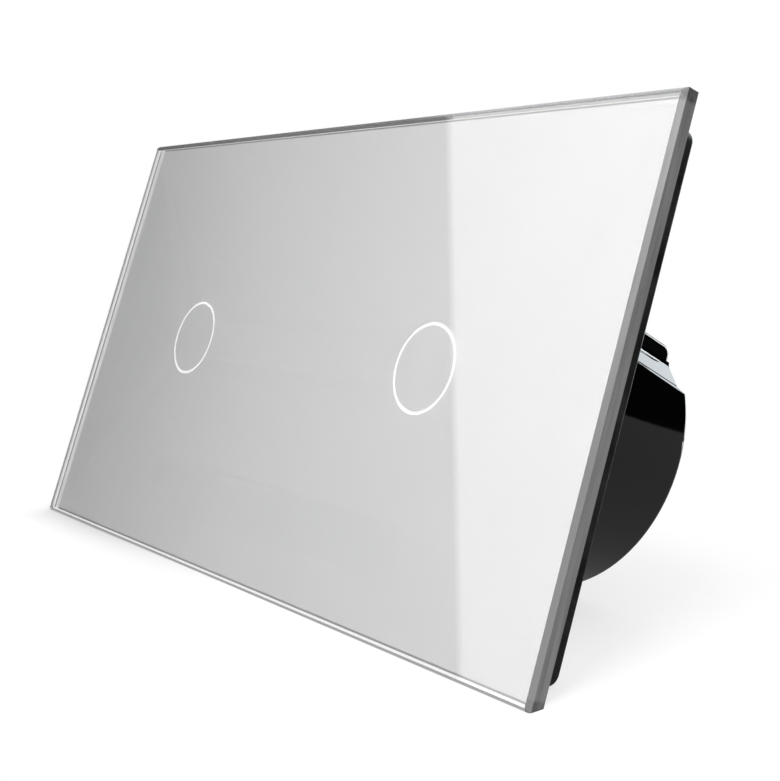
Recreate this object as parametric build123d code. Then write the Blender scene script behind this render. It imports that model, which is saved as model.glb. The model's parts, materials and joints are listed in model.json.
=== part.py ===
from build123d import *
import math
import os

# Double touch switch for two round wall boxes, in millimetres.
# X runs right, Y runs into the wall and Z runs up. The origin lies on the wall plane, at the
# middle between the two modules.

# Glass panel
panel_width = 151.0
panel_height = 80.0
glass_thickness = 2.8
glass_front_bevel = 0.65
glass_back_bevel = 0.3

# Grey print on the back of the glass, with one clear ring line for each module
module_pitch_share = 0.4768
ring_radius = 6.8
ring_line = 0.55
print_thickness = 0.15
print_inset = 0.5
film_margin = 1.5
film_thickness = 0.2

# Adhesive sheet that holds the glass on its carrier
tape_thickness = 0.3
tape_inset = 1.2
tape_window_gap = 0.7

# Panel carrier: a black tray behind the glass with push-in studs
carrier_inset = 4.0
carrier_end_inset = 2.8
carrier_corner_radius = 2.0
carrier_web = 1.0
carrier_rim = 1.6
carrier_edge_radius = 0.5
carrier_fit = 0.3
panel_gap = 0.2
stud_radius = 1.6
stud_tip = 0.5
stud_fit = 0.08
stud_inset = 5.0
stud_end_gap = 0.15

# Steel support frame, screwed to the wall boxes
frame_thickness = 1.0
frame_corner_radius = 2.5
box_screw_spacing = 60.0
box_slot_width = 3.5
box_slot_length = 6.0
barrel_fit = 0.4

# Module housing: a square flange with a round barrel that goes into the wall box
flange_step = 1.0
flange_corner_radius = 4.0
flange_thickness = 1.2
screw_notch_radius = 4.6
barrel_radius = 23.5
barrel_drop = 3.0
barrel_depth = 25.9
barrel_wall = 1.6
barrel_floor = 1.6
barrel_edge_radius = 0.9

# Stepped crown of the barrel, over the terminals; the shares are of the barrel's radius
crown_top_share = 0.702
crown_half_width_share = 0.69
crown_start = 3.0
crown_rear_radius = 1.7
crown_edge_radius = 1.0
crown_wall = 1.2
shoulder_outer_shares = (0.9165, 0.4)
shoulder_break_shares = (0.8085, 0.453)
shoulder_inner_share = 0.582
shoulder_root_radius = 1.4
shoulder_slope_share = 0.15
shoulder_groove = 0.35
cut_overrun = 4.0

# Module front cover and its screws
cover_gap = 0.9
cover_thickness = 1.35
cover_screw_radius = 1.0
cover_screw_head = 1.9
cover_screw_head_height = 0.75
cover_screw_to_stud = 5.0
cover_screw_inset = 3.5
cover_screw_fit = 0.05
cover_screw_end = 0.2

# Light guide and touch spring behind each ring
guide_wall = 2.4
guide_fit = 0.3
guide_flange_radius = 10.5
guide_flange = 1.0
guide_front_gap = 0.1
led_length = 1.6
led_width = 0.9
led_height = 0.6
led_gap = 0.1
led_count = 4
spring_radius = 3.2
spring_wire = 0.4
spring_turns = 5
spring_seat = 0.03

# Boards
board_thickness = 1.2
board_clearance = 0.3
touch_board_set_back = 0.2
ledge_width = 1.5
ledge_thickness = 1.2
power_board_thickness = 1.6
power_board_clearance = 1.75
header_height = 3.2
chip_height = 1.4
rib_width = 2.5
rib_reach = 2.7
rib_angles = (-38, -142)

# Places and sizes along X and Z of what the boards carry, as shares of the barrel's inner radius
header_place_shares = (0, -0.73)
header_size_shares = (0.685, 0.115)
chip_place_shares = (-0.594, -0.365)
chip_size_shares = (0.228, 0.274)
relay_place_shares = (-0.48, -0.091)
relay_size_shares = (0.594, 0.64)
can_place_shares = (0.457, -0.475)
can_radius_share = 0.183
film_cap_place_shares = (0.411, -0.073)
film_cap_size_shares = (0.548, 0.228)
choke_place_shares = (-0.009, -0.667)
choke_radius_share = 0.2055
fuse_place_shares = (-0.046, -0.292)
fuse_radius_share = 0.096
varistor_place_shares = (0.347, 0.155)
varistor_radius_share = 0.16

# Relay, with its axis upright on the power board
relay_depth = 13.0
relay_base_thickness = 1.2
relay_cover_wall = 0.7
relay_inner_gap = 0.3
coil_radius = 3.4
coil_flange_radius = 4.1
coil_flange = 0.8
core_radius = 1.3
core_gap = 0.45
yoke_thickness = 0.9
yoke_width = 7.0
armature_thickness = 0.8
armature_pivot_gap = 0.12
armature_room = 0.25

# Other components on the power board
can_height = 12.5
can_sleeve_lip = 0.4
film_cap_depth = 9.0
film_cap_edge = 0.6
choke_flange = 1.2
choke_height = 9.0
choke_core_radius = 1.8
choke_winding_inset = 0.8
fuse_height = 11.0
fuse_cap_height = 1.5
fuse_neck = 0.15
varistor_thickness = 2.6
varistor_leg = 0.3

# Terminals
terminal_count = 3
terminal_pitch_share = 0.3064
block_bottom_share = 0.2553
block_top_share = 0.634
chamber_wall = 1.2
chamber_end_wall = 1.95
block_side_wall = 0.8
cage_wall = 0.9
cage_fit = 0.1
cage_travel = 1.6
wire_room = 3.3
wire_entry_radius = 1.6
block_entry_radius = 1.8
bar_side_gap = 0.1
bar_thickness = 0.8
bar_leg_width = 1.4
bar_fit = 0.05
bar_seat = 0.5
terminal_ledge = 0.8
screw_radius = 1.5
screw_running_fit = 0.06
screw_head_radius = 2.6
screw_head_height = 1.4
screw_head_fit = 0.1
screw_slot_width = 0.7
screw_slot_depth = 0.6
head_room = 1.2
driver_hole_radius = 2.2

# Levels along Y, built outwards from the wall plane
y_frame_front = -frame_thickness
y_flange_front = y_frame_front - flange_thickness
y_cover_front = y_flange_front - cover_thickness
y_web_back = y_cover_front - panel_gap
y_tape_back = y_web_back - carrier_web
y_print_back = y_tape_back - tape_thickness
y_glass_back = y_print_back - print_thickness
y_glass_front = y_glass_back - glass_thickness
y_film_back = y_print_back + film_thickness

# Levels along Y, going into the wall box
y_board_front = touch_board_set_back
y_board_back = y_board_front + board_thickness
y_power_front = y_board_back + header_height
y_power_back = y_power_front + power_board_thickness
y_floor = barrel_depth - barrel_floor
y_head_back = y_floor - head_room
y_head_front = y_head_back - screw_head_height
y_cage_room_back = y_head_front - terminal_ledge
y_cage_back = y_cage_room_back - cage_fit - cage_travel
y_bar_back = y_cage_back - cage_wall - cage_travel - cage_fit - bar_fit
y_bar_front = y_bar_back - bar_thickness
y_cage_front = y_bar_front - wire_room - cage_wall
y_cage_room_front = y_cage_front - cage_fit
y_wire = y_bar_front - wire_room / 2

# Outlines in X and Z that follow the panel
module_pitch = panel_width * module_pitch_share
module_centres = {"left": -module_pitch / 2, "right": module_pitch / 2}
carrier_width = panel_width - carrier_inset * 2
carrier_height = panel_height - carrier_end_inset * 2
frame_width = carrier_width - (carrier_rim + carrier_fit) * 2
frame_height = carrier_height - (carrier_rim + carrier_fit) * 2
cover_width = carrier_width - (carrier_rim + cover_gap) * 2 - module_pitch
cover_height = carrier_height - (carrier_rim + cover_gap) * 2
flange_width = cover_width - flange_step * 2
flange_height = cover_height - flange_step * 2
stud_x = cover_width / 2 - stud_inset
stud_z = cover_height / 2 - stud_inset
cover_screw_x = stud_x - cover_screw_to_stud
cover_screw_z = cover_height / 2 - cover_screw_inset
guide_radius = ring_radius + guide_wall / 2
film_radius = ring_radius + film_margin

# Outlines in X and Z that follow the barrel
cavity_radius = barrel_radius - barrel_wall
crown_top = barrel_radius * crown_top_share
crown_half_width = barrel_radius * crown_half_width_share
shoulder_outer_x, shoulder_outer_z = [barrel_radius * share for share in shoulder_outer_shares]
shoulder_break_x, shoulder_break_z = [barrel_radius * share for share in shoulder_break_shares]
shoulder_inner_z = barrel_radius * shoulder_inner_share
header_x, header_z = [cavity_radius * share for share in header_place_shares]
header_length, header_width = [cavity_radius * share for share in header_size_shares]
chip_x, chip_z = [cavity_radius * share for share in chip_place_shares]
chip_width, chip_length = [cavity_radius * share for share in chip_size_shares]
relay_x, relay_z = [cavity_radius * share for share in relay_place_shares]
relay_width, relay_height = [cavity_radius * share for share in relay_size_shares]
coil_room = relay_height - (relay_cover_wall + relay_inner_gap) * 2 - yoke_thickness
coil_length = coil_room - core_gap - armature_thickness - armature_room
can_x, can_z = [cavity_radius * share for share in can_place_shares]
can_radius = cavity_radius * can_radius_share
film_cap_x, film_cap_z = [cavity_radius * share for share in film_cap_place_shares]
film_cap_width, film_cap_height = [cavity_radius * share for share in film_cap_size_shares]
choke_x, choke_z = [cavity_radius * share for share in choke_place_shares]
choke_radius = cavity_radius * choke_radius_share
choke_winding_radius = choke_radius - choke_winding_inset
fuse_x, fuse_z = [cavity_radius * share for share in fuse_place_shares]
fuse_radius = cavity_radius * fuse_radius_share
varistor_x, varistor_z = [cavity_radius * share for share in varistor_place_shares]
varistor_radius = cavity_radius * varistor_radius_share
terminal_pitch = barrel_radius * terminal_pitch_share
block_bottom = barrel_radius * block_bottom_share
block_top = barrel_radius * block_top_share
terminal_z = (block_bottom + block_top) / 2
cage_width = terminal_pitch - chamber_wall
cage_height = block_top - block_bottom - chamber_end_wall * 2
block_half_width = (terminal_pitch * (terminal_count - 1) + cage_width) / 2 + cage_fit + block_side_wall
bar_width = cage_width - (cage_wall + bar_side_gap) * 2


def slab(sketch, y_from, y_to):
    """Extrude a sketch, drawn in X and Z, between two depths."""
    return extrude(Plane.XZ.offset(-y_from) * sketch, y_from - y_to)


def rod(x, z, radius, y_from, y_to):
    """Round bar along Y."""
    return slab(Pos(x, z) * Circle(radius), y_from, y_to)


def block(x, z, width, height, y_from, y_to):
    """Rectangular bar along Y."""
    return slab(Pos(x, z) * Rectangle(width, height), y_from, y_to)


def four_corners(x, z):
    """The four places at plus or minus x and z."""
    return [(sx * x, sz * z) for sx in (-1, 1) for sz in (-1, 1)]


def as_group(solids):
    """Several separate solids kept together in one node."""
    return Compound(children=[shape.solid() for shape in solids])


def at_module(shape, side):
    """Move a shape from the module's ring centre to its place."""
    return Pos(module_centres[side], 0, 0) * shape


def at_barrel(shape, side):
    """Move a shape from the barrel's axis to its place."""
    return Pos(module_centres[side], 0, -barrel_drop) * shape


# Panel

def glass_panel():
    sheet = slab(Rectangle(panel_width, panel_height), y_glass_front, y_glass_back)
    front = sheet.faces().sort_by(Axis.Y)[0]
    sheet = chamfer(front.outer_wire().edges(), glass_front_bevel)
    back = sheet.faces().sort_by(Axis.Y)[-1]
    return chamfer(back.outer_wire().edges(), glass_back_bevel)


def back_print():
    """Grey coat with two ring lines left clear, so a disc stays inside each ring."""
    inset = glass_back_bevel + print_inset
    coat = Rectangle(panel_width - inset * 2, panel_height - inset * 2)
    for x in module_centres.values():
        outer = Pos(x, 0) * Circle(ring_radius + ring_line / 2)
        inner = Pos(x, 0) * Circle(ring_radius - ring_line / 2)
        coat = coat - (outer - inner)
    return as_group(slab(coat, y_glass_back, y_print_back).solids())


def ring_films():
    return as_group([rod(x, 0, film_radius, y_print_back, y_film_back)
                     for x in module_centres.values()])


def adhesive_sheet():
    sheet = Rectangle(carrier_width - tape_inset * 2, carrier_height - tape_inset * 2)
    for x in module_centres.values():
        sheet = sheet - Pos(x, 0) * Circle(film_radius + tape_window_gap)
    return slab(sheet, y_print_back, y_tape_back)


def panel_carrier():
    outline = RectangleRounded(carrier_width, carrier_height, carrier_corner_radius)
    tray = slab(outline, y_tape_back, 0)
    back = tray.faces().sort_by(Axis.Y)[-1]
    tray = fillet(back.outer_wire().edges(), carrier_edge_radius)
    inner_radius = carrier_corner_radius - carrier_rim
    inside = RectangleRounded(carrier_width - carrier_rim * 2, carrier_height - carrier_rim * 2,
                              inner_radius)
    tray -= slab(inside, y_web_back, cut_overrun)
    for x in module_centres.values():
        window = guide_radius + guide_fit + film_thickness
        tray -= rod(x, 0, window, y_tape_back - cut_overrun, y_web_back + cut_overrun)
        for sx, sz in four_corners(stud_x, stud_z):
            stud = rod(x + sx, sz, stud_radius, y_web_back, y_frame_front - stud_end_gap)
            tip = stud.faces().sort_by(Axis.Y)[-1]
            tray += chamfer(tip.edges(), stud_tip)
    return tray


# Support frame and module shells

def support_frame():
    plate = RectangleRounded(frame_width, frame_height, frame_corner_radius)
    for x in module_centres.values():
        plate -= Pos(x, -barrel_drop) * Circle(barrel_radius + barrel_fit)
        for sx in (-1, 1):
            slot = SlotOverall(box_slot_length, box_slot_width)
            plate -= Pos(x + sx * box_screw_spacing / 2, 0) * slot
        for sx, sz in four_corners(cover_screw_x, cover_screw_z):
            plate -= Pos(x + sx, sz) * Circle(cover_screw_radius + cover_screw_fit)
    return slab(plate, y_frame_front, 0)


def module_plate(width, height):
    """Plate outline with open notches for the wall box screws."""
    plate = RectangleRounded(width, height, flange_corner_radius)
    for sx in (-1, 1):
        notch = Circle(screw_notch_radius)
        notch += Pos(sx * screw_notch_radius, 0) * Rectangle(screw_notch_radius * 2, screw_notch_radius * 2)
        plate -= Pos(sx * box_screw_spacing / 2, 0) * notch
    for sx, sz in four_corners(stud_x, stud_z):
        plate -= Pos(sx, sz) * Circle(stud_radius + stud_fit)
    for sx, sz in four_corners(cover_screw_x, cover_screw_z):
        plate -= Pos(sx, sz) * Circle(cover_screw_radius + cover_screw_fit)
    return plate


def half_plane(distance, angle):
    """Large square whose lower side lies at a distance from the centre, turned by an angle."""
    reach = barrel_radius * 2
    return Rot(0, 0, angle) * Pos(distance + reach / 2, 0) * Rectangle(reach, reach)


def shoulder_distance():
    """Distance of the shoulder's facet from the barrel's axis, at the rear."""
    run = shoulder_break_x - crown_half_width
    rise = shoulder_inner_z - shoulder_break_z
    length = math.hypot(run, rise)
    return (shoulder_break_x * rise + shoulder_break_z * run) / length


def shoulder_angle():
    """Direction of the facet's outward normal, in degrees above X."""
    run = shoulder_break_x - crown_half_width
    rise = shoulder_inner_z - shoulder_break_z
    return math.degrees(math.atan2(run, rise))


def cavity_section(clearance):
    """Inside of the barrel, cut flat under the crown and the shoulders."""
    section = Circle(cavity_radius - clearance)
    section -= half_plane(crown_height(y_power_back) - crown_wall - clearance, 90)
    facet = shoulder_distance() - barrel_wall - clearance
    section -= half_plane(facet, shoulder_angle())
    section -= half_plane(facet, 180 - shoulder_angle())
    return section


def leaning(outline, front):
    """Prism that starts at the barrel's rear and rises towards the front."""
    lean = Vector(0, -1, shoulder_slope_share)
    length = (barrel_depth - front) * lean.length
    return extrude(Plane.XZ.offset(-barrel_depth) * outline, length, dir=lean)


def shoulder_cutter(side):
    """Slanted prism that clears the space beside the crown."""
    reach = barrel_radius * 2
    out_x = shoulder_outer_x + (shoulder_outer_x - shoulder_break_x) * 2
    out_z = shoulder_outer_z + (shoulder_outer_z - shoulder_break_z) * 2
    corner = (side * crown_half_width, shoulder_inner_z)
    outline = make_face(Polyline(
        (side * out_x, out_z),
        (side * shoulder_break_x, shoulder_break_z),
        corner,
        (side * crown_half_width, reach),
        (side * reach, reach),
        (side * reach, out_z),
        close=True))
    root = outline.vertices().sort_by_distance(Vector(corner[0], corner[1], 0))[0]
    outline = fillet(root, shoulder_root_radius)
    groove = Pos(side * shoulder_break_x, shoulder_break_z) * Rot(0, 0, side * shoulder_angle())
    outline += groove * Rectangle(shoulder_groove * 2, shoulder_groove)
    return leaning(outline, crown_start)


def crown_height(y):
    """Height of the crown's top, which slopes down to the rear."""
    return crown_top + (barrel_depth - y) * shoulder_slope_share


def runs_round_crown(middle):
    """True for an edge of the crown's block that runs along its top or down its rear."""
    return abs(middle.X) > crown_half_width / 2 and middle.Y > crown_start and middle.Z > 0


def crown():
    """Upper block of the barrel, its top sloping down to a rounded rear edge."""
    profile = make_face(Polyline(
        (crown_start, 0),
        (barrel_depth, 0),
        (barrel_depth, crown_top),
        (crown_start, crown_height(crown_start)),
        close=True))
    solid = extrude(Plane.YZ * profile, crown_half_width, both=True)
    rear = solid.edges().sort_by_distance(Vector(0, barrel_depth, crown_top))[0]
    solid = fillet(rear, crown_rear_radius)
    sides = [edge for edge in solid.edges() if runs_round_crown(edge.center())]
    solid = fillet(sides, crown_edge_radius)
    return solid & slab(Circle(barrel_radius), crown_start, barrel_depth)


def barrel_shell():
    """Round barrel with its stepped crown, still solid."""
    barrel = slab(Circle(barrel_radius), y_frame_front, barrel_depth)
    back = barrel.faces().sort_by(Axis.Y)[-1]
    barrel = fillet(back.edges(), barrel_edge_radius)
    reach = barrel_radius * 2
    above = Pos(0, shoulder_inner_z + reach / 2) * Rectangle(crown_half_width * 2, reach)
    barrel -= slab(above, crown_start, barrel_depth + cut_overrun)
    for side in (-1, 1):
        barrel -= shoulder_cutter(side)
    return barrel + crown()


def housing():
    barrel = barrel_shell()
    flange = Pos(0, barrel_drop) * module_plate(flange_width, flange_height)
    barrel += slab(flange, y_flange_front, y_frame_front)
    hollow = slab(cavity_section(0), y_flange_front - cut_overrun, y_floor)
    barrel -= hollow - leaning(half_plane(crown_top - crown_wall, 90), crown_start)
    ledge = cavity_section(0) - cavity_section(ledge_width)
    barrel += slab(ledge, y_board_back, y_board_back + ledge_thickness)
    for angle in rib_angles:
        rib = Pos(cavity_radius - rib_reach / 2, 0) * Rectangle(rib_reach + barrel_wall, rib_width)
        barrel += slab(Rot(0, 0, angle) * rib, y_power_back, y_floor)
    for x in terminal_places():
        barrel -= rod(x, terminal_z, driver_hole_radius, y_floor - cut_overrun, barrel_depth + cut_overrun)
        barrel -= wire_hole(x, wire_entry_radius, block_top, crown_height(y_wire) + cut_overrun)
    return barrel


def front_cover():
    plate = module_plate(cover_width, cover_height)
    plate -= Circle(guide_radius + guide_fit)
    cover = slab(plate, y_cover_front, y_flange_front)
    for sx, sz in four_corners(cover_screw_x, cover_screw_z):
        sink = cover_screw_head + cover_screw_fit
        cover -= rod(sx, sz, sink, y_cover_front, y_cover_front + cover_screw_head_height)
    return cover


def module_screws():
    """Small screws that hold each module's cover and flange on the support frame."""
    screws = []
    for side in module_centres:
        for sx, sz in four_corners(cover_screw_x, cover_screw_z):
            seat = y_cover_front + cover_screw_head_height
            screw = rod(sx, sz, cover_screw_head, y_cover_front, seat)
            screw += rod(sx, sz, cover_screw_radius, seat, -cover_screw_end)
            slot = Rectangle(cover_screw_head * 2, screw_slot_depth)
            screw -= slab(Pos(sx, sz) * slot, y_cover_front, y_cover_front + cover_screw_end)
            screws.append(at_module(screw, side))
    return as_group(screws)


# Touch parts

def light_guide():
    front = y_film_back + guide_front_gap
    back = y_board_front - led_height - led_gap
    guide = rod(0, 0, guide_radius, front, back)
    guide += rod(0, 0, guide_flange_radius, y_flange_front, y_flange_front + guide_flange)
    return guide - rod(0, 0, guide_radius - guide_wall, front - cut_overrun, back + cut_overrun)


def touch_spring():
    """Coil spring that carries the touch from the glass to the board."""
    front = y_film_back + guide_front_gap + spring_wire / 2
    back = y_board_front - spring_wire / 2 - spring_seat
    height = back - front
    path = Helix(height / spring_turns, height, spring_radius)
    section = Plane(path @ 0, z_dir=path % 0) * Circle(spring_wire / 2)
    coil = sweep(section, path=path)
    return Pos(0, back, 0) * Rot(90, 0, 0) * coil


def leds():
    lamps = []
    for side in module_centres:
        for n in range(led_count):
            place = Rot(0, 0, 360 / led_count * n) * Pos(ring_radius, 0)
            lamp = slab(place * Rectangle(led_width, led_length), y_board_front - led_height, y_board_front)
            lamps.append(at_module(lamp, side))
    return as_group(lamps)


def touch_board():
    return slab(cavity_section(board_clearance), y_board_front, y_board_back)


def touch_chips():
    chips = []
    for side in module_centres:
        chip = block(chip_x, chip_z, chip_width, chip_length, y_board_front - chip_height, y_board_front)
        chips.append(at_barrel(chip, side))
    return as_group(chips)


def board_headers():
    headers = []
    for side in module_centres:
        header = block(header_x, header_z, header_length, header_width, y_board_back, y_power_front)
        headers.append(at_barrel(header, side))
    return as_group(headers)


def power_board():
    return slab(cavity_section(power_board_clearance), y_power_front, y_power_back)


# Relay

def relay_levels():
    """Heights of the coil's axis and of the relay's parts along Y and Z."""
    base_back = y_power_back + relay_base_thickness
    inner_back = y_power_back + relay_depth - relay_cover_wall - relay_inner_gap
    inner_low = relay_z - relay_height / 2 + relay_cover_wall + relay_inner_gap
    yoke_front = inner_back - yoke_thickness
    axis_y = yoke_front - coil_flange_radius
    coil_low = inner_low + yoke_thickness
    coil_high = coil_low + coil_length
    return base_back, yoke_front, inner_back, axis_y, inner_low, coil_low, coil_high


def relay_base():
    return block(relay_x, relay_z, relay_width, relay_height, y_power_back,
                 y_power_back + relay_base_thickness)


def relay_cover():
    base_back = relay_levels()[0]
    shell = block(relay_x, relay_z, relay_width, relay_height, base_back, y_power_back + relay_depth)
    wall = relay_cover_wall * 2
    return shell - block(relay_x, relay_z, relay_width - wall, relay_height - wall, base_back,
                         y_power_back + relay_depth - relay_cover_wall)


def upright(radius, y, low, high):
    """Round bar along Z at the relay's middle."""
    return Pos(relay_x, y, low) * extrude(Circle(radius), high - low)


def relay_coil():
    base_back, yoke_front, inner_back, axis_y, inner_low, low, high = relay_levels()
    coil = upright(coil_radius, axis_y, low, high)
    coil += upright(coil_flange_radius, axis_y, low, low + coil_flange)
    coil += upright(coil_flange_radius, axis_y, high - coil_flange, high)
    pedestal_width = coil_flange_radius
    coil += block(relay_x, low + coil_flange / 2, pedestal_width, coil_flange, base_back, axis_y)
    return coil - upright(core_radius, axis_y, low - cut_overrun, high + cut_overrun)


def relay_yoke():
    """Steel core and yoke; the yoke's upper edge carries the armature."""
    base_back, yoke_front, inner_back, axis_y, inner_low, low, high = relay_levels()
    yoke = block(relay_x, (inner_low + high) / 2, yoke_width, high - inner_low, yoke_front, inner_back)
    yoke += block(relay_x, (inner_low + low) / 2, yoke_width, low - inner_low,
                  axis_y - coil_flange_radius, inner_back)
    return yoke + upright(core_radius, axis_y, low, high)


def relay_armature():
    """Steel flap over the coil, hinged on the yoke's upper edge."""
    base_back, yoke_front, inner_back, axis_y, inner_low, low, high = relay_levels()
    front = axis_y - coil_flange_radius
    flap_low = high + core_gap
    middle = flap_low + armature_thickness / 2
    flap = block(relay_x, middle, yoke_width, armature_thickness, front, inner_back)
    foot_middle = high + armature_pivot_gap + (core_gap - armature_pivot_gap) / 2
    return flap + block(relay_x, foot_middle, yoke_width, core_gap - armature_pivot_gap,
                        yoke_front, inner_back)


# Other components

def capacitor():
    can = rod(can_x, can_z, can_radius, y_power_back, y_power_back + can_height)
    top = can.faces().sort_by(Axis.Y)[-1]
    return fillet(top.edges(), can_sleeve_lip)


def film_capacitor():
    box = block(film_cap_x, film_cap_z, film_cap_width, film_cap_height, y_power_back,
                y_power_back + film_cap_depth)
    top = box.faces().sort_by(Axis.Y)[-1]
    return fillet(top.edges(), film_cap_edge)


def choke_core():
    end = y_power_back + choke_height
    core = rod(choke_x, choke_z, choke_core_radius, y_power_back, end)
    core += rod(choke_x, choke_z, choke_radius, y_power_back, y_power_back + choke_flange)
    return core + rod(choke_x, choke_z, choke_radius, end - choke_flange, end)


def choke_winding():
    front = y_power_back + choke_flange
    back = y_power_back + choke_height - choke_flange
    winding = rod(choke_x, choke_z, choke_winding_radius, front, back)
    return winding - rod(choke_x, choke_z, choke_core_radius, front, back)


def fuses():
    parts = []
    for side in module_centres:
        end = y_power_back + fuse_height
        tube = rod(fuse_x, fuse_z, fuse_radius - fuse_neck, y_power_back, end)
        tube += rod(fuse_x, fuse_z, fuse_radius, y_power_back, y_power_back + fuse_cap_height)
        tube += rod(fuse_x, fuse_z, fuse_radius, end - fuse_cap_height, end)
        parts.append(at_barrel(tube, side))
    return as_group(parts)


def varistors():
    parts = []
    for side in module_centres:
        middle = y_power_back + varistor_radius + varistor_leg * 2
        disc = extrude(Circle(varistor_radius), varistor_thickness)
        disc = Pos(varistor_x, middle, varistor_z - varistor_thickness / 2) * disc
        for sx in (-1, 1):
            leg_x = varistor_x + sx * varistor_radius / 2
            disc += rod(leg_x, varistor_z, varistor_leg, y_power_back, middle)
        parts.append(at_barrel(disc, side))
    return as_group(parts)


# Terminals

def terminal_places():
    """X of each terminal, counted from the barrel's axis."""
    first = -terminal_pitch * (terminal_count - 1) / 2
    return [first + terminal_pitch * n for n in range(terminal_count)]


def wire_hole(x, radius, z_from, z_to):
    """Round hole along Z that leads a wire into its cage."""
    return Pos(x, y_wire, z_from) * extrude(Circle(radius), z_to - z_from)


def terminal_bar(x, fit):
    """Fixed contact bar of one terminal, with its leg to the power board."""
    low = terminal_z - cage_height / 2 - cage_fit - bar_seat - bar_thickness
    high = terminal_z + cage_height / 2 + cage_fit + bar_seat
    bar = block(x, (low + high) / 2, bar_width + fit * 2, high - low + fit * 2,
                y_bar_front - fit, y_bar_back + fit)
    leg_z = low + bar_thickness / 2
    return bar + block(x, leg_z, bar_leg_width + fit * 2, bar_thickness + fit * 2, y_power_back,
                       y_bar_back + fit)


def terminal_bars():
    return as_group([terminal_bar(x, 0) for x in terminal_places()])


def terminal_block():
    height = block_top - block_bottom
    body = block(0, block_bottom + height / 2, block_half_width * 2, height, y_power_back, y_floor)
    for x in terminal_places():
        body -= block(x, terminal_z, cage_width + cage_fit * 2, cage_height + cage_fit * 2,
                      y_cage_room_front, y_cage_room_back)
        body -= rod(x, terminal_z, screw_radius + screw_running_fit, y_cage_room_back, y_head_front)
        body -= rod(x, terminal_z, screw_head_radius + screw_head_fit, y_head_front,
                    y_floor + cut_overrun)
        body -= terminal_bar(x, bar_fit)
        body -= wire_hole(x, block_entry_radius, terminal_z, block_top + cut_overrun)
    return body


def terminal_screw(x):
    """Captive screw: it turns in place and draws its cage along."""
    end = y_bar_back + bar_fit
    screw = rod(x, terminal_z, screw_radius, end, y_head_front)
    screw += rod(x, terminal_z, screw_head_radius, y_head_front + screw_running_fit, y_head_back)
    screw += rod(x, terminal_z, screw_radius, y_head_front, y_head_front + screw_running_fit)
    slot = Pos(x, terminal_z) * Rectangle(screw_head_radius * 2 + cut_overrun, screw_slot_width)
    return screw - slab(slot, y_head_back - screw_slot_depth, y_head_back + cut_overrun)


def terminal_cage(x):
    """Square loop round the bar, open along Z for the wire, threaded on its screw."""
    cage = block(x, terminal_z, cage_width, cage_height, y_cage_front, y_cage_back)
    cage -= block(x, terminal_z, cage_width - cage_wall * 2, cage_height + cut_overrun,
                  y_cage_front + cage_wall, y_cage_back - cage_wall)
    return cage - rod(x, terminal_z, screw_radius + screw_running_fit, y_cage_back - cage_wall - cut_overrun,
                      y_cage_back + cut_overrun)


def write_node(name, shape):
    export_step(shape, "parts/" + name + ".step")


def build():
    os.makedirs("parts", exist_ok=True)
    shared = {
        "glass_panel": glass_panel(),
        "back_print": back_print(),
        "ring_films": ring_films(),
        "adhesive_sheet": adhesive_sheet(),
        "panel_carrier": panel_carrier(),
        "support_frame": support_frame(),
        "module_screws": module_screws(),
        "leds": leds(),
        "touch_chips": touch_chips(),
        "board_headers": board_headers(),
        "fuses": fuses(),
        "varistors": varistors(),
    }
    on_ring = {
        "front_cover": front_cover(),
        "light_guide": light_guide(),
        "touch_spring": touch_spring(),
    }
    on_barrel = {
        "housing": housing(),
        "touch_board": touch_board(),
        "power_board": power_board(),
        "relay_base": relay_base(),
        "relay_cover": relay_cover(),
        "relay_coil": relay_coil(),
        "relay_yoke": relay_yoke(),
        "relay_armature": relay_armature(),
        "capacitor": capacitor(),
        "film_capacitor": film_capacitor(),
        "choke_core": choke_core(),
        "choke_winding": choke_winding(),
        "terminal_block": terminal_block(),
        "terminal_bars": terminal_bars(),
    }
    for number, x in enumerate(terminal_places(), start=1):
        on_barrel["terminal_screw_" + str(number)] = terminal_screw(x)
        on_barrel["terminal_cage_" + str(number)] = terminal_cage(x)
    for name, shape in shared.items():
        write_node(name, shape)
    for side in module_centres:
        for name, shape in on_ring.items():
            write_node(side + "_" + name, at_module(shape, side))
        for name, shape in on_barrel.items():
            write_node(side + "_" + name, at_barrel(shape, side))
    pivot_y = relay_levels()[2]
    pivot_z = relay_levels()[6] + armature_pivot_gap - barrel_drop
    print("module centres", module_centres, "glass front y", y_glass_front)
    print("armature pivot x", relay_x, "y", pivot_y, "z", pivot_z)
    print("terminals at x", terminal_places(), "z", terminal_z - barrel_drop)
    print("wire entry y", y_wire, "crown top z", crown_height(y_wire) - barrel_drop)


build()
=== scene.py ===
import json
import math

import bpy
from mathutils import Matrix, Vector


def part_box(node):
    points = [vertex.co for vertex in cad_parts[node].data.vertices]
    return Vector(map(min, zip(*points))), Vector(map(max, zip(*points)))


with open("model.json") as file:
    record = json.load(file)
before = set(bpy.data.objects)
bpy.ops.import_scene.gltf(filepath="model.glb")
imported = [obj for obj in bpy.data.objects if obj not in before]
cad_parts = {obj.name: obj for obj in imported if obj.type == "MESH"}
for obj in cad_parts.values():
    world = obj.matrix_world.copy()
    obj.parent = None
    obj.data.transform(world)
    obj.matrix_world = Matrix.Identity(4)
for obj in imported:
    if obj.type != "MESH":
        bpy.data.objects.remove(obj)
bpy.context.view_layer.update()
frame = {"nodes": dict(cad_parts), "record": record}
nodes = frame["nodes"]
scene = bpy.context.scene
MM = 0.001
SIDEWAYS = (1, 0, 0)
REARWARD = (0, 1, 0)
UPWARD = (0, 0, 1)
WHITE = (1, 1, 1)

# Camera: the photograph's own view, with its roll
EYE = Vector((193.3, -124.0, -19.5)) * MM
VIEW_AZIMUTH = math.radians(53.03)
VIEW_ELEVATION = math.radians(-6.75)
VIEW_ROLL = math.radians(15.1)
LENS = 62.2
SENSOR = 36.0
SHIFT = (-0.059, -0.058)
CLIP_SPAN = (0.001, 10.0)


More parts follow.
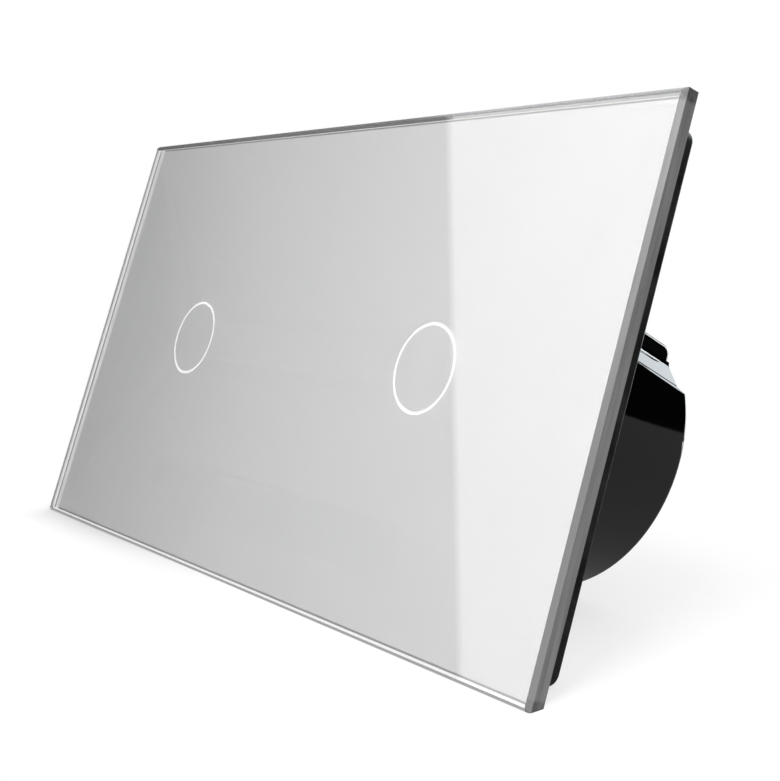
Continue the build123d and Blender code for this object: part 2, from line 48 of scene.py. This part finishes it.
def make_camera():
    data = bpy.data.cameras.new("camera")
    data.lens = LENS
    data.sensor_width = SENSOR
    data.shift_x, data.shift_y = SHIFT
    data.clip_start, data.clip_end = CLIP_SPAN
    camera = bpy.data.objects.new("camera", data)
    scene.collection.objects.link(camera)
    flat = math.cos(VIEW_ELEVATION)
    forward = Vector((-math.sin(VIEW_AZIMUTH) * flat, math.cos(VIEW_AZIMUTH) * flat,
                      -math.sin(VIEW_ELEVATION)))
    turn = forward.to_track_quat("-Z", "Y").to_matrix() @ Matrix.Rotation(VIEW_ROLL, 3, "Z")
    camera.matrix_world = Matrix.Translation(EYE) @ turn.to_4x4()
    scene.camera = camera


# Sockets of the colour mix
MIX_FACTOR = 0
MIX_FIRST = 6
MIX_SECOND = 7
MIX_RESULT = 2


class Graph:
    """Short way to build a node tree: each call adds a node and links its inputs."""

    def __init__(self, tree):
        self.tree = tree
        tree.nodes.clear()

    def add(self, kind, inputs=None, **settings):
        node = self.tree.nodes.new(kind)
        for name, value in settings.items():
            setattr(node, name, value)
        for key, value in (inputs or {}).items():
            self.put(node.inputs[key], value)
        return node

    def put(self, socket, value):
        if isinstance(value, bpy.types.NodeSocket):
            self.tree.links.new(value, socket)
        elif isinstance(value, tuple) and len(value) == 3 and socket.type == "RGBA":
            socket.default_value = (*value, 1.0)
        else:
            socket.default_value = value

    def math(self, operation, a, b=0.0):
        return self.add("ShaderNodeMath", {0: a, 1: b}, operation=operation).outputs[0]

    def times(self, a, b):
        return self.math("MULTIPLY", a, b)

    def dot(self, a, b):
        return self.add("ShaderNodeVectorMath", {0: a, 1: b}, operation="DOT_PRODUCT").outputs["Value"]

    def ramp(self, value, low, high, to_low=0.0, to_high=1.0, smooth=False):
        kind = "SMOOTHSTEP" if smooth else "LINEAR"
        inputs = {"Value": value, "From Min": low, "From Max": high, "To Min": to_low, "To Max": to_high}
        return self.add("ShaderNodeMapRange", inputs, interpolation_type=kind).outputs[0]

    def mix(self, factor, a, b):
        node = self.add("ShaderNodeMix", data_type="RGBA")
        self.put(node.inputs[MIX_FACTOR], factor)
        self.put(node.inputs[MIX_FIRST], a)
        self.put(node.inputs[MIX_SECOND], b)
        return node.outputs[MIX_RESULT]

    def noise(self, place, scale, detail=3.0):
        inputs = {"Vector": place, "Scale": scale, "Detail": detail}
        return self.add("ShaderNodeTexNoise", inputs).outputs["Fac"]

    def place(self):
        return self.add("ShaderNodeTexCoord").outputs["Object"]

    def bump(self, height, distance):
        return self.add("ShaderNodeBump", {"Height": height, "Distance": distance}).outputs[0]

    def principled(self, **inputs):
        named = {name.replace("_", " "): value for name, value in inputs.items()}
        return self.add("ShaderNodeBsdfPrincipled", named).outputs[0]

    def blend(self, factor, a, b):
        return self.add("ShaderNodeMixShader", {0: factor, 1: a, 2: b}).outputs[0]

    def directly_seen(self, path):
        return self.math("MAXIMUM", path.outputs["Is Camera Ray"], path.outputs["Is Transmission Ray"])


def new_material(name):
    material = bpy.data.materials.new(name)
    material.use_nodes = True
    return material, Graph(material.node_tree)


def close(graph, shader):
    graph.add("ShaderNodeOutputMaterial", {"Surface": shader})


# World: levels of the studio that the glossy surfaces mirror, placed by direction
FRONT_SPAN = (-0.05, 0.05)
SWEEP_NORMAL = (0.0, -0.37, 0.93)
SWEEP_BLUR = 0.004
SWEEP_LEVEL = 0.4
SWEEP_WAVES = 9.0
SWEEP_DETAIL = 1.0
SWEEP_WAVE = 0.07
WINDOW_BLUR = 0.003
WINDOW_TOP = (0.6, 0.65)
WINDOW_SPAN = (-0.82, -0.7)
WINDOW_LEVELS = (2.4, 3.2)
OVERHEAD_NORMAL = (0.0, 0.6, 1.0)
OVERHEAD_EDGE = 0.7
OVERHEAD_BLUR = 0.03
OVERHEAD_END = 0.1
OVERHEAD_END_BLUR = 0.04
OVERHEAD_TINT = (0.9, 0.96, 1.0)
OVERHEAD_SPAN = (-0.65, -0.15)
OVERHEAD_LEVELS = (1.0, 4.2)
TUBE_SPAN = (0.0, 0.03)
TUBE_LEVEL = 4.0
HAZE_SPAN = (-0.91, -0.855)
HAZE_LEVEL = 0.35
FILL_LEVEL = 1.15

# The upright edge of the bright window in the glass runs through these two points of its front face
WINDOW_LINE = (Vector((27.1, -8.0, 39.1)), Vector((62.9, -8.0, -40.4)))


def window_edge():
    """Normal of the plane through the mirrored eye and the window's edge on the glass."""
    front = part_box("glass_panel")[0].y / MM
    mirrored = Vector((EYE.x / MM, 2 * front - EYE.y / MM, EYE.z / MM))
    upper, lower = [point - mirrored for point in WINDOW_LINE]
    normal = upper.cross(lower).normalized()
    return tuple(normal if normal.y < 0 else -normal)


def make_world():
    """White behind the object, and a studio that only its glossy surfaces mirror."""
    world = bpy.data.worlds.new("studio")
    scene.world = world
    world.use_nodes = True
    graph = Graph(world.node_tree)
    direction = graph.add("ShaderNodeTexCoord").outputs["Generated"]
    sideways = graph.dot(direction, SIDEWAYS)
    in_front = graph.ramp(graph.dot(direction, REARWARD), *FRONT_SPAN, 1.0, 0.0)

    waves = graph.noise(direction, SWEEP_WAVES, SWEEP_DETAIL)
    wavy = graph.ramp(waves, 0.0, 1.0, -SWEEP_WAVE, SWEEP_WAVE)
    height = graph.math("ADD", graph.dot(direction, SWEEP_NORMAL), wavy)
    sweep = graph.ramp(height, -SWEEP_BLUR, SWEEP_BLUR, 1.0, 0.0)

    window = graph.ramp(graph.dot(direction, window_edge()), -WINDOW_BLUR, WINDOW_BLUR)
    window = graph.times(window, in_front)
    window = graph.times(window, graph.ramp(graph.dot(direction, UPWARD), *WINDOW_TOP, 1.0, 0.0))
    window = graph.times(window, graph.ramp(sideways, *WINDOW_SPAN, *WINDOW_LEVELS))
    haze = graph.times(graph.ramp(sideways, *HAZE_SPAN, 0.0, HAZE_LEVEL, smooth=True), in_front)

    height = graph.dot(direction, OVERHEAD_NORMAL)
    overhead = graph.ramp(height, OVERHEAD_EDGE, OVERHEAD_EDGE + OVERHEAD_BLUR)
    end = graph.ramp(sideways, OVERHEAD_END, OVERHEAD_END + OVERHEAD_END_BLUR, 1.0, 0.0)
    level = graph.math("ADD", graph.ramp(sideways, *OVERHEAD_SPAN, *OVERHEAD_LEVELS),
                       graph.ramp(sideways, *TUBE_SPAN, 0.0, TUBE_LEVEL))
    overhead = graph.times(graph.times(overhead, end), level)

    light = graph.math("ADD", graph.math("ADD", window, haze), overhead)
    light = graph.math("MAXIMUM", light, graph.times(sweep, SWEEP_LEVEL))
    tint = graph.mix(graph.math("MINIMUM", overhead, 1.0), WHITE, OVERHEAD_TINT)
    glossy = graph.add("ShaderNodeBackground", {"Color": tint, "Strength": light}).outputs[0]
    fill = graph.add("ShaderNodeBackground", {"Color": WHITE, "Strength": FILL_LEVEL}).outputs[0]
    white = graph.add("ShaderNodeBackground", {"Color": WHITE, "Strength": 1.0}).outputs[0]
    path = graph.add("ShaderNodeLightPath")
    shader = graph.blend(path.outputs["Is Glossy Ray"], fill, glossy)
    shader = graph.blend(graph.directly_seen(path), shader, white)
    graph.add("ShaderNodeOutputWorld", {"Surface": shader})


KEY_PLACE = Vector((130, -215, 40)) * MM
KEY_AIM = Vector((30, 0, 0)) * MM
KEY_SIZE = 0.08
KEY_POWER = 0.385
TOP_PLACE = Vector((150, 100, 500)) * MM
TOP_AIM = Vector((0, 0, 0))
TOP_SIZE = 0.6
TOP_POWER = 1.6
FRONT_PLACE = Vector((100, -800, 60)) * MM
FRONT_AIM = Vector((0, 0, 0))
FRONT_SIZE = 0.8
FRONT_POWER = 5.45


def area_light(name, place, aim, size, power):
    data = bpy.data.lights.new(name, "AREA")
    data.shape = "SQUARE"
    data.size = size
    data.energy = power
    lamp = bpy.data.objects.new(name, data)
    scene.collection.objects.link(lamp)
    lamp.location = place
    lamp.rotation_euler = (aim - place).to_track_quat("-Z", "Y").to_euler()
    lamp.visible_glossy = False
    lamp.visible_camera = False
    lamp.visible_transmission = False


# The switch leans back on its barrels, so in its own frame the floor rises towards the rear
FLOOR_TILT = math.radians(21.6)
FLOOR_SIZE = 2.0
FLOOR_COLOUR = (0.21, 0.21, 0.21)
FLOOR_LIFT = 0.67
FLOOR_CENTRE = (-0.006, -0.012, 0.0)
FLOOR_SQUASH = (0.5, 1.0, 1.0)
FLOOR_FADE = (0.046, 0.068)
SHADE_REACH = 0.009
SHADE_SPAN = (-0.05, 0.0)
SHADE_DEPTH = 0.8


def floor_material():
    """Lit grey with a lift, white further out, and clear from below and to mirrored rays."""
    material, graph = new_material("pale_floor")
    place = graph.place()
    path = graph.add("ShaderNodeLightPath")
    seen = graph.directly_seen(path)

    lit = graph.add("ShaderNodeBsdfDiffuse", {"Color": FLOOR_COLOUR}).outputs[0]
    open_share = graph.add("ShaderNodeAmbientOcclusion", {"Distance": SHADE_REACH}).outputs["AO"]
    span = graph.ramp(graph.dot(place, SIDEWAYS), *SHADE_SPAN, SHADE_DEPTH, 0.0)
    shade = graph.times(graph.math("SUBTRACT", 1.0, open_share), span)
    level = graph.times(graph.math("SUBTRACT", FLOOR_LIFT, shade), seen)
    lift = graph.add("ShaderNodeEmission", {"Color": WHITE, "Strength": level}).outputs[0]
    near = graph.add("ShaderNodeAddShader", {0: lit, 1: lift}).outputs[0]

    white = graph.add("ShaderNodeEmission", {"Color": WHITE, "Strength": seen}).outputs[0]
    mapping = {"Vector": place, "Location": FLOOR_CENTRE, "Scale": FLOOR_SQUASH}
    squashed = graph.add("ShaderNodeMapping", mapping).outputs[0]
    distance = graph.add("ShaderNodeVectorMath", {0: squashed}, operation="LENGTH").outputs["Value"]
    far = graph.ramp(distance, *FLOOR_FADE, smooth=True)
    clear = graph.add("ShaderNodeBsdfTransparent", {"Color": WHITE}).outputs[0]
    under = graph.add("ShaderNodeNewGeometry").outputs["Backfacing"]
    hidden = graph.math("MAXIMUM", path.outputs["Is Glossy Ray"], under)
    close(graph, graph.blend(hidden, graph.blend(far, near, white), clear))
    return material


def make_floor():
    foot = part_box("glass_panel")[0]
    mesh = bpy.data.meshes.new("floor")
    half = FLOOR_SIZE / 2
    corners = [(-half, -half, 0), (half, -half, 0), (half, half, 0), (-half, half, 0)]
    mesh.from_pydata(corners, [], [(0, 1, 2, 3)])
    floor = bpy.data.objects.new("floor", mesh)
    scene.collection.objects.link(floor)
    floor.location = (0, foot.y, foot.z)
    floor.rotation_euler = (FLOOR_TILT, 0, 0)
    mesh.materials.append(floor_material())


# Spans of a noise that carry a tone or a gloss from one value to the other
CLOUD_SPAN = (0.35, 0.65)
MIDDLE_SPAN = (0.3, 0.7)

# Glass: the polished faces, and the tones on its ground edge, among them painted light, painted shade and a
# painted reflection
GLASS_IOR = 1.52
GLASS_TINT = (0.99, 0.9915, 0.9905)
GLASS_OTHER = (0.99, 0.994, 0.992)
GLASS_CLOUDS = 40.0
FACE_SPAN = (0.9, 0.95)
EDGE_GREY = (0.17, 0.17, 0.169)
EDGE_DARK = (0.12, 0.12, 0.12)
EDGE_ROUGHNESS = 0.14
EDGE_STRETCH = (1.0, 5.0, 0.3)
EDGE_CLOUDS = 260.0
EDGE_DETAIL = 5.0
EDGE_GRAIN = 2600.0
EDGE_RELIEF = 0.000003
BORDER = 0.66 * MM
BORDER_BLUR = MM / 10
CHAMFER_SPAN = (0.3, 0.5)
CHAMFER_HEIGHTS = (30 * MM, -10 * MM)
# Painted shade on the lower part of the front chamfer
CHAMFER_SHADE = (0.07, 0.07, 0.07)
CAP_LENGTH = 2.0 * MM
CAP_BLUR = MM / 2
CAP_PATCHES = 900.0
CAP_DETAIL = 2.0
CAP_SHARES = (0.4, 1.0)
CAP_TONE = (0.05, 0.05, 0.05)
# Painted light on the left side and the bottom, with a grey stripe of painted shade on the left side
STRIPE_DEPTH = 0.6
STRIPE_SPAN = (0.06, 0.12)
STRIPE_PAINTED_SHADE = (0.3, 0.3, 0.3)
LEFT_PAINTED_LIGHT = (0.8, 0.8, 0.8)
BOTTOM_PAINTED_LIGHT = (0.3, 0.31, 0.305)
TOP_TONE = (0.16, 0.16, 0.16)
# Painted reflection of the window on the top strip, right of the window's edge
TOP_PAINTED_REFLECTION = (0.4, 0.4, 0.4)
TOP_BLUR = MM
RIM_DEPTHS = (0.97, 0.99)


def glass_material():
    """Clear float glass with ground grey edges that carry painted light, shade and a painted reflection;
    shadow rays pass straight through it.
    """
    material, graph = new_material("clear_glass")
    place = graph.place()
    low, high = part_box("glass_panel")
    sideways = graph.dot(place, SIDEWAYS)
    upward = graph.dot(place, UPWARD)
    depth = graph.ramp(graph.dot(place, REARWARD), low.y, high.y)
    normal = graph.add("ShaderNodeNewGeometry").outputs["True Normal"]
    facing = graph.math("ABSOLUTE", graph.dot(normal, REARWARD))

    tint = graph.mix(graph.noise(place, GLASS_CLOUDS), GLASS_TINT, GLASS_OTHER)
    polished = graph.principled(Base_Color=tint, Roughness=0.0, IOR=GLASS_IOR, Transmission_Weight=1.0)

    # Cloudy grey of the ground edge, with painted shade darkening the lower part of the front chamfer
    mapping = {"Vector": place, "Scale": EDGE_STRETCH}
    stretched = graph.add("ShaderNodeMapping", mapping).outputs[0]
    cloudy = graph.noise(stretched, EDGE_CLOUDS, EDGE_DETAIL)
    grey = graph.mix(graph.ramp(cloudy, *CLOUD_SPAN), EDGE_DARK, EDGE_GREY)
    chamfer_shade = graph.times(graph.ramp(facing, *CHAMFER_SPAN), graph.ramp(upward, *CHAMFER_HEIGHTS))
    grey = graph.mix(chamfer_shade, grey, CHAMFER_SHADE)

    # Dark ends of the right side
    inner = graph.ramp(sideways, high.x - BORDER - BORDER_BLUR, high.x - BORDER, 1.0, 0.0)
    end_start = high.z - CAP_LENGTH
    end = graph.ramp(graph.math("ABSOLUTE", upward), end_start, end_start + CAP_BLUR)
    patchy = graph.ramp(graph.noise(place, CAP_PATCHES, CAP_DETAIL), *MIDDLE_SPAN, *CAP_SHARES)
    cap = graph.times(graph.times(end, patchy), graph.math("SUBTRACT", 1.0, inner))
    grey = graph.mix(cap, grey, CAP_TONE)

    # Painted light: a pale left side with a grey stripe of painted shade along it, and a pale bottom
    stripe = graph.math("ABSOLUTE", graph.math("SUBTRACT", depth, STRIPE_DEPTH))
    painted_side_tone = graph.mix(graph.ramp(stripe, *STRIPE_SPAN), STRIPE_PAINTED_SHADE, LEFT_PAINTED_LIGHT)
    left = graph.ramp(sideways, low.x + BORDER, low.x + BORDER + BORDER_BLUR, 1.0, 0.0)
    grey = graph.mix(left, grey, painted_side_tone)
    foot = graph.ramp(upward, low.z + BORDER, low.z + BORDER + BORDER_BLUR, 1.0, 0.0)
    grey = graph.mix(graph.times(foot, inner), grey, BOTTOM_PAINTED_LIGHT)

    # Top: one dark tone, and a strip behind it with a painted reflection of the window, paler right of the
    # window's edge
    reflection_start = WINDOW_LINE[0].x * MM
    rim_painted_reflection = graph.mix(graph.ramp(sideways, reflection_start - TOP_BLUR, reflection_start), TOP_TONE, TOP_PAINTED_REFLECTION)
    above = graph.ramp(upward, high.z - BORDER - BORDER_BLUR, high.z - BORDER)
    above = graph.times(above, inner)
    rim = graph.times(above, graph.ramp(depth, *RIM_DEPTHS))
    grey = graph.mix(rim, graph.mix(above, grey, TOP_TONE), rim_painted_reflection)

    relief = graph.bump(graph.noise(place, EDGE_GRAIN), EDGE_RELIEF)
    ground = graph.principled(Base_Color=grey, Roughness=EDGE_ROUGHNESS, IOR=GLASS_IOR, Normal=relief)
    edge = graph.math("MAXIMUM", graph.ramp(facing, *FACE_SPAN, 1.0, 0.0), rim)
    solid = graph.blend(edge, polished, ground)
    clear = graph.add("ShaderNodeBsdfTransparent", {"Color": GLASS_TINT}).outputs[0]
    path = graph.add("ShaderNodeLightPath")
    close(graph, graph.blend(path.outputs["Is Shadow Ray"], solid, clear))
    return material


COAT_DETAIL = 4.0
GRAIN_DETAIL = 2.0


def coated(name, colour, other, roughness, clouds, grain, relief, metallic=0.0, rough_span=0.08, ior=1.5):
    """Painted, moulded or plated surface: two close colours, an uneven gloss and a fine relief."""
    material, graph = new_material(name)
    place = graph.place()
    cloudy = graph.noise(place, clouds, COAT_DETAIL)
    tone = graph.mix(graph.ramp(cloudy, *CLOUD_SPAN), colour, other)
    half_span = rough_span / 2
    gloss = graph.ramp(cloudy, *MIDDLE_SPAN, roughness - half_span, roughness + half_span)
    normal = graph.bump(graph.noise(place, grain, GRAIN_DETAIL), relief)
    close(graph, graph.principled(Base_Color=tone, Roughness=gloss, Metallic=metallic, IOR=ior,
                                  Normal=normal))
    return material


# Housing: spans are of how far the surface faces sideways
HOUSING_DARK = (0.0006, 0.0006, 0.0007)
HOUSING_OTHER = (0.0012, 0.0012, 0.0014)
HOUSING_CLOUDS = 60.0
HOUSING_GLOSS = (0.04, 0.08)
HOUSING_IOR = 1.5
HOUSING_GRAIN = 500.0
HOUSING_RELIEF = 0.000001
CROWN_FOOT = 10.6 * MM
CROWN_BLUR = MM / 2
CROWN_FLAT_SPAN = (0.7, 0.75)
CROWN_WALL_SPAN = (0.9, 0.97)
# Painted highlight: a pale line on the crown's rounded top edge
CROWN_HIGHLIGHT_SPANS = ((0.72, 0.76), (0.84, 0.88))
CROWN_RIM_HIGHLIGHT = (0.32, 0.32, 0.33)
CROWN_SPECULAR = (0.5, 0.03)
CROWN_ROUGHNESS = 0.7


def housing_material():
    """Gloss black moulding; the crown's top and walls are dull, with a painted highlight as a pale line
    between them.
    """
    material, graph = new_material("black_housing")
    place = graph.place()
    cloudy = graph.noise(place, HOUSING_CLOUDS, COAT_DETAIL)
    tone = graph.mix(cloudy, HOUSING_DARK, HOUSING_OTHER)
    gloss = graph.ramp(cloudy, *MIDDLE_SPAN, *HOUSING_GLOSS)
    normal = graph.add("ShaderNodeNewGeometry").outputs["Normal"]
    upright = graph.math("ABSOLUTE", graph.dot(normal, SIDEWAYS))
    raised = graph.ramp(graph.dot(place, UPWARD), CROWN_FOOT, CROWN_FOOT + CROWN_BLUR)
    flat = graph.times(graph.ramp(upright, *CROWN_FLAT_SPAN, 1.0, 0.0), raised)
    wall = graph.times(graph.ramp(upright, *CROWN_WALL_SPAN), raised)
    level = graph.ramp(graph.math("MAXIMUM", wall, flat), 0.0, 1.0, *CROWN_SPECULAR)
    gloss = graph.math("MAXIMUM", gloss, graph.times(flat, CROWN_ROUGHNESS))
    # Painted highlight along the crown's top edge, where the surface turns from wall to top
    highlight_start, highlight_end = CROWN_HIGHLIGHT_SPANS
    rim = graph.times(graph.ramp(upright, *highlight_start), graph.ramp(upright, *highlight_end, 1.0, 0.0))
    tone = graph.mix(graph.times(rim, raised), tone, CROWN_RIM_HIGHLIGHT)
    relief = graph.bump(graph.noise(place, HOUSING_GRAIN), HOUSING_RELIEF)
    close(graph, graph.principled(Base_Color=tone, Roughness=gloss, IOR=HOUSING_IOR,
                                  Specular_IOR_Level=level, Normal=relief))
    return material


# Print: shares say where the soft edge of the painted shadow line or the band of painted light starts or ends
PRINT_TONE = (0.735, 0.735, 0.735)
PRINT_OTHER = (0.745, 0.745, 0.745)
PRINT_CLOUDS = 60.0
PRINT_DETAIL = 2.0
PRINT_ROUGHNESS = (0.52, 0.58)
# Painted shadow line along the print's border
PRINT_SHADOW_LINE = 0.25 * MM
PRINT_SHADOW_LINE_SHARE = 1.4
SHADOW_LINE_TONE = (0.4, 0.4, 0.4)
# Left side: a painted shadow line at the edge, and a band of painted light inside it
SIDE_SHADOW_LINE = 0.6 * MM
SIDE_LIGHT_BAND = 2.4 * MM
SIDE_SHARE = 0.7
LIGHT_BAND_TONE = (0.96, 0.96, 0.96)


def print_material():
    """Even print behind the glass, with a painted shadow line along its border and a pale band of painted
    light at its left.
    """
    material, graph = new_material("grey_print")
    place = graph.place()
    low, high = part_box("back_print")
    cloudy = graph.noise(place, PRINT_CLOUDS, PRINT_DETAIL)
    tone = graph.mix(cloudy, PRINT_TONE, PRINT_OTHER)
    gloss = graph.ramp(cloudy, *MIDDLE_SPAN, *PRINT_ROUGHNESS)
    upward = graph.dot(place, UPWARD)
    shadow_line_end = PRINT_SHADOW_LINE * PRINT_SHADOW_LINE_SHARE
    # Painted shadow line along the top and bottom border
    shadow_line = graph.math("MAXIMUM", graph.ramp(upward, low.z + PRINT_SHADOW_LINE, low.z + shadow_line_end, 1.0, 0.0),
                      graph.ramp(upward, high.z - shadow_line_end, high.z - PRINT_SHADOW_LINE))
    tone = graph.mix(shadow_line, tone, SHADOW_LINE_TONE)
    inset = graph.math("SUBTRACT", graph.dot(place, SIDEWAYS), low.x)
    # Band of painted light at the left, then the painted shadow line over it at the edge
    for width, painted_side_tone in ((SIDE_LIGHT_BAND, LIGHT_BAND_TONE), (SIDE_SHADOW_LINE, SHADOW_LINE_TONE)):
        tone = graph.mix(graph.ramp(inset, width * SIDE_SHARE, width, 1.0, 0.0), tone, painted_side_tone)
    close(graph, graph.principled(Base_Color=tone, Roughness=gloss))
    return material


# Two colours, roughness, scale of the clouds, scale of the grain and height of the relief
COATINGS = {
    "white_film": ((0.95, 0.95, 0.95), (0.9, 0.9, 0.9), 0.5, 80, 3000, 0.000002),
    "black_tape": ((0.02, 0.02, 0.02), (0.03, 0.03, 0.03), 0.7, 80, 3000, 0.00001),
    "dark_cover": ((0.03, 0.03, 0.032), (0.045, 0.045, 0.047), 0.5, 90, 2600, 0.00002),
    "light_guide": ((0.85, 0.86, 0.87), (0.8, 0.81, 0.82), 0.3, 90, 2000, 0.000004),
    "lamp_body": ((0.85, 0.8, 0.6), (0.9, 0.88, 0.75), 0.25, 900, 3000, 0.000004),
    "green_board": ((0.015, 0.12, 0.05), (0.02, 0.16, 0.07), 0.35, 300, 2500, 0.00001),
    "chip_black": ((0.02, 0.02, 0.02), (0.03, 0.03, 0.03), 0.55, 300, 4000, 0.00001),
    "relay_blue": ((0.02, 0.09, 0.3), (0.025, 0.11, 0.34), 0.3, 100, 2500, 0.000006),
    "relay_base": ((0.03, 0.03, 0.035), (0.04, 0.04, 0.045), 0.5, 100, 2500, 0.00001),
    "can_sleeve": ((0.015, 0.015, 0.05), (0.02, 0.02, 0.06), 0.25, 100, 2500, 0.000006),
    "film_cap_red": ((0.4, 0.05, 0.02), (0.45, 0.07, 0.03), 0.3, 100, 2500, 0.00001),
    "ferrite": ((0.03, 0.03, 0.032), (0.05, 0.05, 0.052), 0.6, 200, 3000, 0.00002),
    "fuse_tube": ((0.6, 0.56, 0.45), (0.66, 0.62, 0.5), 0.4, 100, 2500, 0.000006),
    "varistor_blue": ((0.02, 0.12, 0.35), (0.03, 0.14, 0.4), 0.35, 200, 2500, 0.00002),
    "terminal_plastic": ((0.42, 0.43, 0.44), (0.46, 0.47, 0.48), 0.45, 90, 2500, 0.00001),
}
CARRIER = ((0.005, 0.005, 0.005), (0.02, 0.02, 0.02), 0.4, 220, 2200, 0.00002)
CARRIER_ROUGH_SPAN = 0.2
CARRIER_IOR = 1.2

# Two colours, roughness and scale of the clouds
METALS = {
    "zinc_steel": ((0.55, 0.56, 0.58), (0.7, 0.71, 0.73), 0.32, 150),
    "plated_screw": ((0.62, 0.62, 0.63), (0.75, 0.75, 0.76), 0.25, 400),
    "spring_steel": ((0.6, 0.6, 0.61), (0.72, 0.72, 0.73), 0.2, 500),
    "copper_winding": ((0.55, 0.2, 0.07), (0.7, 0.3, 0.12), 0.3, 500),
    "soft_iron": ((0.35, 0.35, 0.36), (0.45, 0.45, 0.46), 0.4, 300),
    "bar_brass": ((0.6, 0.45, 0.2), (0.7, 0.55, 0.28), 0.3, 300),
}
METAL_GRAIN = 3000
METAL_RELIEF = 0.000004
METAL_ROUGH_SPAN = 0.15


def make_materials():
    made = {name: coated(name, *look) for name, look in COATINGS.items()}
    for name, look in METALS.items():
        made[name] = coated(name, *look, METAL_GRAIN, METAL_RELIEF, metallic=1.0, rough_span=METAL_ROUGH_SPAN)
    made["black_carrier"] = coated("black_carrier", *CARRIER, rough_span=CARRIER_ROUGH_SPAN, ior=CARRIER_IOR)
    made["black_housing"] = housing_material()
    made["grey_print"] = print_material()
    made["clear_glass"] = glass_material()
    return made


def dress_nodes(materials):
    for part in frame["record"]["subparts"]:
        shown = nodes[part["node"]]
        shown.data.materials.clear()
        shown.data.materials.append(materials[part["material_slot"]])


scene.view_settings.view_transform = "Standard"
make_camera()
make_world()
area_light("key", KEY_PLACE, KEY_AIM, KEY_SIZE, KEY_POWER)
area_light("top", TOP_PLACE, TOP_AIM, TOP_SIZE, TOP_POWER)
area_light("front", FRONT_PLACE, FRONT_AIM, FRONT_SIZE, FRONT_POWER)
make_floor()
dress_nodes(make_materials())
